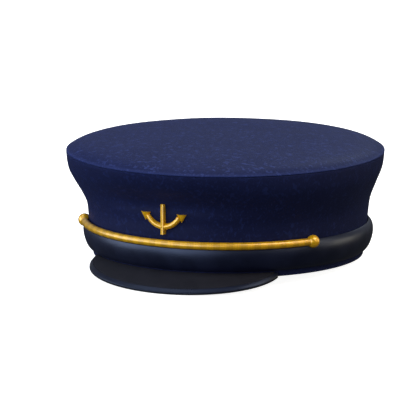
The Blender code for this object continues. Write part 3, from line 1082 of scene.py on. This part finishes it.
def anchor_shank():
    """The shank: a bar with a narrow face and sides that slope back to the cloth."""

    def place(share, _turn, count):
        back, face = SHANK_BACK_WIDTH / 2, SHANK_FACE_WIDTH / 2
        corners = ((-back, 0), (back, 0), (face, BADGE_DEPTH), (-face, BADGE_DEPTH))
        across, through = rounded(corners, SHANK_BEVEL, SHANK_CURVE)[count]
        return Vector((across, through, SHANK_LENGTH * share))

    return swept("anchor_casting", place, SHANK_RINGS, 4 * SHANK_CURVE)


def anchor_arms():
    """The arms: one half-round bar, bent up on either side of the shank's foot."""
    centre = ARM_HEIGHT + ARM_RADIUS

    def place(share, turn, _count):
        off = abs(2 * share - 1)
        angle = ARM_HALF_ANGLE * (2 * share - 1)
        half = (ARM_WIDTH + ARM_BROADER + (ARM_TIP_WIDTH - ARM_WIDTH) * off) / 2
        aside, through = half_round(turn, half, ARM_DEPTH)
        radius = ARM_RADIUS + aside
        return Vector((radius * math.sin(angle), through, centre - radius * math.cos(angle)))

    return swept("anchor_arms", place, ARM_RINGS, SECTION_POINTS)


def anchor_fluke(side):
    """A fluke: half a cone, which stands on its point with its flat end up."""
    middle = side * ARM_RADIUS
    low = ARM_HEIGHT + ARM_RADIUS * (1 - math.cos(ARM_HALF_ANGLE)) - FLUKE_HEIGHT / 2

    def place(share, turn, _count):
        half = FLUKE_WIDTH / 2 * (FLUKE_POINT + (1 - FLUKE_POINT) * share)
        deep = FLUKE_DEPTH * (FLUKE_POINT_DEPTH + (1 - FLUKE_POINT_DEPTH) * share)
        aside, through = half_round(turn, half, deep)
        return Vector((middle + aside, through, low + FLUKE_RISE * share))

    name = "anchor_fluke_left" if side > 0 else "anchor_fluke_right"
    return swept(name, place, FLUKE_RINGS, SECTION_POINTS)


def anchor():
    """The anchor: shank, arms and two flukes cast as one, bent to the front of the crown."""
    cast = anchor_shank()
    for part in (anchor_arms(), anchor_fluke(1), anchor_fluke(-1)):
        apply_modifier(cast, "BOOLEAN", operation="UNION", object=part, solver="EXACT")
        bpy.data.objects.remove(part)
    moved(cast, badge_point)
    return finished(cast, badge_gilt, "gilt_metal", "anchor_badge", smooth=ANCHOR_SMOOTH)


# Light and floor

FLOOR_SIZE = 12
FLOOR_DROP = 0.0002
FLOOR_GLOW = 0.92
PAPER_FIBRE_SCALE = 60
WORLD_BELOW = 0.05
WORLD_ABOVE = 0.24
WORLD_FADE = 0.15
WORLD_COLOUR = (0.92, 0.96, 1.0, 1.0)
SOFTBOX_DISTANCE = 2.0
HALF_HEIGHT = 0.04
COOL_LIGHT = (0.78, 0.88, 1.0)
WARM_LIGHT = (1.0, 0.86, 0.56)
DAY_LIGHT = (1.0, 0.96, 0.90)
WHITE_LIGHT = (1, 1, 1)


def soft_light(name, turn, rise, size, power, colour=WHITE_LIGHT):
    """A round softbox, turned to the right from the camera's side of the hat and raised, in degrees."""
    data = bpy.data.lights.new(name, "AREA")
    data.shape = "DISK"
    data.size = size
    data.energy = power
    data.color = colour
    light = bpy.data.objects.new(name, data)
    bpy.context.scene.collection.objects.link(light)
    across, up = math.radians(turn) + CAMERA_YAW, math.radians(rise)
    light.location = SOFTBOX_DISTANCE * round_the_hat(math.cos(up), across, math.sin(up))
    aim = Vector((0, 0, HALF_HEIGHT)) - light.location
    light.rotation_euler = aim.to_track_quat("-Z", "Y").to_euler()
    return light


def lay_floor():
    """A table top that glows nearly white and puts no light, reflection or shadow on the hat."""
    bpy.ops.mesh.primitive_plane_add(size=FLOOR_SIZE, location=(0, 0, -FLOOR_DROP))
    floor = begun("studio_floor")
    paper = new_material("pale_paper", roughness=0.9, emission_strength=FLOOR_GLOW)
    paper.node_tree.nodes["Principled BSDF"].inputs["Emission Color"].default_value = (1, 1, 1, 1)
    fibres = speckle(paper, stretched(paper), PAPER_FIBRE_SCALE)
    drive(paper, Base_Color=blended(paper, fibres, (0.86, 0.86, 0.86), (0.88, 0.88, 0.88)))
    floor.data.materials.append(paper)
    floor.visible_diffuse = False
    floor.visible_glossy = False
    floor.visible_shadow = False


def light_studio():
    """A dim room, darker below the table than above it, with softboxes all round the hat."""
    world = bpy.data.worlds.new("studio")
    world.use_nodes = True
    tree = world.node_tree
    place = tree.nodes.new("ShaderNodeTexCoord")
    height = tree.nodes.new("ShaderNodeSeparateXYZ")
    fall = tree.nodes.new("ShaderNodeMapRange")
    fall.inputs["From Min"].default_value = -WORLD_FADE
    fall.inputs["From Max"].default_value = WORLD_FADE
    fall.inputs["To Min"].default_value = WORLD_BELOW
    fall.inputs["To Max"].default_value = WORLD_ABOVE
    tree.links.new(place.outputs["Generated"], height.inputs["Vector"])
    tree.links.new(height.outputs["Z"], fall.inputs["Value"])
    tree.links.new(fall.outputs["Result"], tree.nodes["Background"].inputs["Strength"])
    tree.nodes["Background"].inputs["Color"].default_value = WORLD_COLOUR
    bpy.context.scene.world = world
    soft_light("front_left", turn=-38, rise=15, size=1.8, power=18, colour=COOL_LIGHT)
    soft_light("left", turn=-88, rise=15, size=1.8, power=21, colour=COOL_LIGHT)
    soft_light("high_left", turn=-80, rise=66, size=1.4, power=8, colour=COOL_LIGHT)
    soft_light("low_right", turn=100, rise=8, size=1.0, power=5.5, colour=WARM_LIGHT)
    soft_light("right", turn=80, rise=42, size=1.4, power=5, colour=WARM_LIGHT)
    soft_light("glint_right", turn=52, rise=20, size=0.5, power=2.6, colour=WARM_LIGHT)
    soft_light("high_right", turn=50, rise=56, size=1.4, power=13, colour=DAY_LIGHT)
    soft_light("high_behind", turn=180, rise=66, size=1.6, power=11)
    soft_light("behind", turn=158, rise=34, size=0.7, power=4, colour=COOL_LIGHT)
    bpy.context.scene.view_settings.view_transform = "Standard"


crown_wall()
crown_top()
padded_roll()
peak_plate()
peak_edge()
gold_cord()
ball_button(1, "button_left")
ball_button(-1, "button_right")
anchor()
lay_floor()
light_studio()
